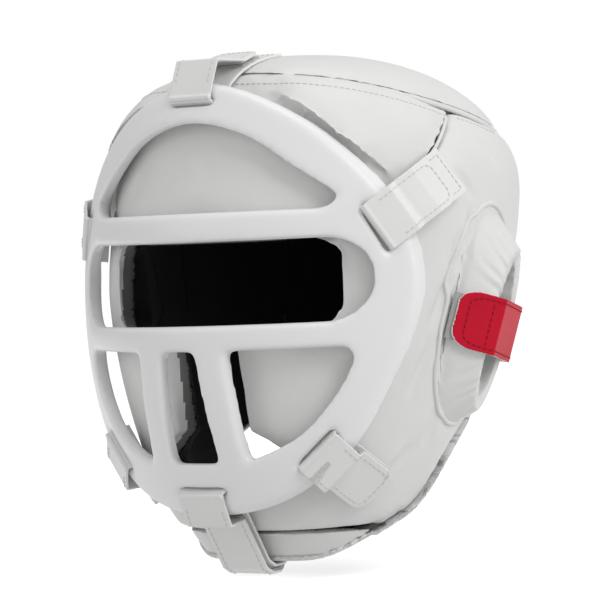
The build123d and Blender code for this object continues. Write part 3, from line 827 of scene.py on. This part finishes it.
def strap_piece(name, source, fold=None):
    """A strap's node with an even skin and soft edges, with its fold if it has one."""
    piece = copy_of(name, source)
    if fold:
        bpy.ops.object.select_all(action="DESELECT")
        bpy.ops.mesh.primitive_cylinder_add(vertices=24, radius=FOLD_RADIUS,
                                            depth=2 * fold.half - 0.4 * MM)
        bar = bpy.context.object
        turn = fold.across.to_track_quat("Z", "Y").to_matrix().to_4x4()
        bar.data.transform(Matrix.Translation(fold.start) @ turn)
        piece.select_set(True)
        bpy.context.view_layer.objects.active = piece
        bpy.ops.object.join()
    remesh(piece, STRAP_VOXEL)
    smooth(piece, 0.5, 4)
    return piece


PLANS = [("top", "", 28.0, "top_flap"), ("chin", "", 30.0, "chin_flap")]
PLANS += [(kind, "_" + side, 28.0, kind + "_flap_" + side)
          for kind in ("temple", "jaw") for side in ("left", "right")]
for kind, side, width, body in PLANS:
    flap_node = kind + "_strap_flap" + side
    strap = Strap(flap_node, kind + "_flap_peel" + side, width * MM)
    flap = strap_piece(kind + "_flap_cover" + side, flap_node, strap)
    base = strap_piece(kind + "_base_cover" + side, kind + "_strap_base" + side)
    finish_piece(flap, body, strap_leather, "strap_leather", flap_node)
    finish_piece(base, "shell", strap_leather, "strap_leather", kind + "_strap_base" + side)
    tree = surface_of(flap)
    sew(kind + "_flap_stitches" + side, [strap.border(tree, STRAP_EDGE, 7 * MM)],
        body, white_thread)
    flap_end = strap.length
    strap.length = ((points_of(base) - np.array(strap.start)) @ np.array(strap.along)).max()
    if strap.length > flap_end + 3 * STRAP_EDGE:
        row = strap.border(surface_of(base), STRAP_EDGE, flap_end + 1.5 * MM, corner=1 * MM)
        sew(kind + "_patch_stitches" + side, [row], "shell", white_thread)

# %% [markdown]
# ## The red strap
# The strap over each ear is faced with red leather, while its edges and back stay white.
# Its front end, where it closes, carries a second row of stitches.

# %% Make the red strap
EDGE_TURN = 0.5
EAR_HEIGHT = -20.0 * MM
for side in ("left", "right"):
    flap_node = "ear_strap_flap_" + side
    strap = Strap(flap_node, "ear_flap_peel_" + side, 31.0 * MM)
    flap = strap_piece("red_strap_" + side, flap_node)
    finish_piece(flap, "ear_flap_" + side, red_leather, "red_leather", flap_node)
    flap.data.materials.append(strap_leather)
    middles, facings = faces_of(flap)
    away = middles - np.array((0.0, 0.0, EAR_HEIGHT))
    away /= np.linalg.norm(away, axis=1, keepdims=True)
    white = np.sum(facings * away, axis=1) < EDGE_TURN
    flap.data.polygons.foreach_set("material_index", white.astype(int))
    tree = surface_of(flap)
    rows = [strap.border(tree, inset, 5 * MM, closed=True) for inset in (2.6 * MM,)]
    rows.append([spot for spot in (strap.spot(tree, strap.length - 9 * MM, across * MM)
                                   for across in range(-12, 13)) if spot[0] is not None])
    sew("red_strap_stitches_" + side, rows, "ear_flap_" + side, red_thread, "red_leather")

# %% Make the back strap
back = Strap("back_strap_flap", "back_flap_peel", 56.0 * MM)
back_cover = strap_piece("back_strap_cover", "back_strap_flap")
finish_piece(back_cover, "back_flap", strap_leather, "strap_leather", "back_strap_flap")
tree = surface_of(back_cover)
sew("back_strap_stitches", [back.border(tree, STRAP_EDGE, 4 * MM, closed=True)],
    "back_flap", white_thread)

# %% [markdown]
# ## The ragged lining
# The black towelling doesn't stop at the head: it turns over the inner edge of the face
# opening. So the faces of each panel that lie deep enough below the outside are lined, and
# those a little less deep, the white wall of the opening where shadow falls, are painted
# dark grey as painted shade. The towelling's cut edge frays there, as fine tapered tufts of
# random length from one seed.

# %% Turn the lining over the edge
# Faces deeper than the first depth get the grey painted shade for the opening's shadowed wall; deeper than
# the second, the black lining.
SHADE_STRIP_DEPTH = 4.0 * MM
TURNED_DEPTH = 11.0 * MM
TURNED_BACK = -15.0 * MM


def turn_lining(panel, *covers):
    """Line a panel's deep faces, give the faces a little less deep a grey painted shade, and return the
    places where its fringe stands.
    """
    tree = surface_of(*[nodes[cover] for cover in covers])
    middles, _ = faces_of(panel)
    depth = np.array([tree.find_nearest(middle)[3] for middle in middles.tolist()])
    depth *= middles[:, 1] < TURNED_BACK
    deep = depth > TURNED_DEPTH
    # The grey painted shade for the shadowed wall of the opening, then the black lining.
    panel.data.materials.append(painted_shade_strip)
    panel.data.materials.append(black_towelling)
    slots = (depth > SHADE_STRIP_DEPTH).astype(int) + deep.astype(int)
    panel.data.polygons.foreach_set("material_index", slots)
    beside = {}
    for face in panel.data.polygons:
        for edge in face.edge_keys:
            beside.setdefault(edge, []).append(face.index)
    spots = []
    for (first, second), faces in beside.items():
        if len(faces) == 2 and deep[faces[0]] != deep[faces[1]]:
            plain = faces[0] if deep[faces[1]] else faces[1]
            ends = [panel.data.vertices[at].co for at in (first, second)]
            middle = (ends[0] + ends[1]) / 2
            over = (panel.data.polygons[plain].center - middle).normalized()
            spots.append((middle.copy(), over, panel.data.polygons[plain].normal.copy()))
    return spots


fringe_spots = turn_lining(forehead, "forehead_cover")
fringe_spots += turn_lining(chin, "chin_cover")
for side, panel in (("left", side_left), ("right", side_right)):
    fringe_spots += turn_lining(panel, "side_cover_" + side)
print(len(fringe_spots), "places along the fringe")

# %% Fray the edge
TUFTS_EACH = 3
TUFT_LENGTH = 2.2 * MM
TUFT_WIDTH = 0.32 * MM
chance = np.random.RandomState(11)
points, faces = [], []
for place, over, facing in fringe_spots:
    along = over.cross(facing).normalized()
    for _ in range(TUFTS_EACH):
        draw = chance.uniform(-1.0, 1.0, 4).tolist()
        base = place + along * draw[0] * MM - over * 0.8 * MM
        lean = (over + along * 0.7 * draw[1] + facing * (0.25 + 0.25 * draw[2])).normalized()
        side = along * TUFT_WIDTH
        up = facing * TUFT_WIDTH
        tip = base + lean * (TUFT_LENGTH * (1.0 + 0.5 * draw[3]) + 0.8 * MM)
        start = len(points)
        points += [base - side, base + up, base + side, tip]
        faces += [(start, start + 1, start + 3), (start + 1, start + 2, start + 3),
                  (start + 2, start, start + 3), (start, start + 2, start + 1)]
mesh = bpy.data.meshes.new("lining_fringe")
mesh.from_pydata([tuple(point) for point in points], [], faces)
fringe = bpy.data.objects.new("lining_fringe", mesh)
bpy.context.scene.collection.objects.link(fringe)
activate(fringe)
bpy.ops.object.mode_set(mode="EDIT")
bpy.ops.mesh.select_all(action="SELECT")
bpy.ops.mesh.normals_make_consistent(inside=False)
bpy.ops.object.mode_set(mode="OBJECT")
finish_piece(fringe, "shell", black_towelling, "black_lining")

# %% Put materials on the frame's own pieces
for name, node in nodes.items():
    if node.hide_render:
        continue
    node.data.materials.clear()
    if "lining" in name:
        node.data.materials.append(black_towelling)
    elif "_hook" in name:
        node.data.materials.append(hook_tape)
    elif "_loop" in name:
        node.data.materials.append(loop_tape)
    else:
        print("plain frame piece:", name)
        node.data.materials.append(white_leather)
